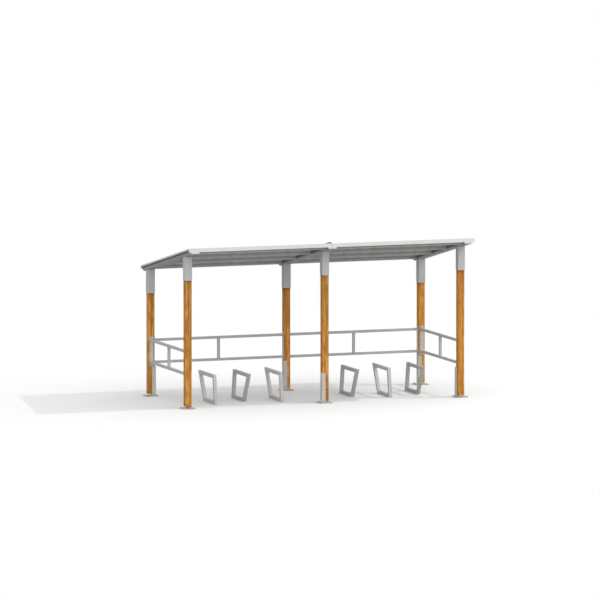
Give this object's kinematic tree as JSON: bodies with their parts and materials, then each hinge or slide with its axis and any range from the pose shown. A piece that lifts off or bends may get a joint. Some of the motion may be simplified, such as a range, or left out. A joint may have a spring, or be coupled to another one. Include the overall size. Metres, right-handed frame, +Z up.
{
  "type": "bike shelter",
  "caption": "Open bike shelter: timber posts in steel feet and heads, a pent sheet roof on a steel grid, rails along the back and sides, and leaning tube racks.",
  "frame": {"origin": "on the ground, under the middle of the roof's plan", "axes": "+X along the open front to the right, +Y from the open front to the rear rails, +Z up"},
  "size_m": [4.6, 2.267, 2.4764],
  "materials": {
    "timber": "oiled softwood, honey brown",
    "grey_steel": "galvanised steel with a light grey satin coat",
    "rack_steel": "light grey satin coat on square tube",
    "roof_sheet": "coated ribbed steel sheet",
    "fascia": "folded sheet, pale grey coat",
    "joint_cap": "folded capping strip, dark grey coat"
  },
  "bodies": {
    "root": {"post_front_left": "timber", "foot_front_left": "grey_steel", "head_front_left": "grey_steel", "post_front_middle": "timber", "foot_front_middle": "grey_steel", "head_front_middle": "grey_steel", "post_front_right": "timber", "foot_front_right": "grey_steel", "head_front_right": "grey_steel", "post_rear_left": "timber", "foot_rear_left": "grey_steel", "head_rear_left": "grey_steel", "post_rear_middle": "timber", "foot_rear_middle": "grey_steel", "head_rear_middle": "grey_steel", "post_rear_right": "timber", "foot_rear_right": "grey_steel", "head_rear_right": "grey_steel", "rafter_left": "grey_steel", "rafter_middle": "grey_steel", "rafter_right": "grey_steel", "purlin_left_1": "grey_steel", "purlin_left_2": "grey_steel", "purlin_left_3": "grey_steel", "purlin_left_4": "grey_steel", "roof_sheet_left": "roof_sheet", "fascia_left": "fascia", "purlin_right_1": "grey_steel", "purlin_right_2": "grey_steel", "purlin_right_3": "grey_steel", "purlin_right_4": "grey_steel", "roof_sheet_right": "roof_sheet", "fascia_right": "fascia", "rear_trim": "fascia", "joint_strip": "joint_cap", "rail_rear_left": "grey_steel", "rail_side_left": "grey_steel", "rack_left_1": "rack_steel", "rack_left_2": "rack_steel", "rack_left_3": "rack_steel", "rail_rear_right": "grey_steel", "rail_side_right": "grey_steel", "rack_right_1": "rack_steel", "rack_right_2": "rack_steel", "rack_right_3": "rack_steel"}
  },
  "joints": []
}
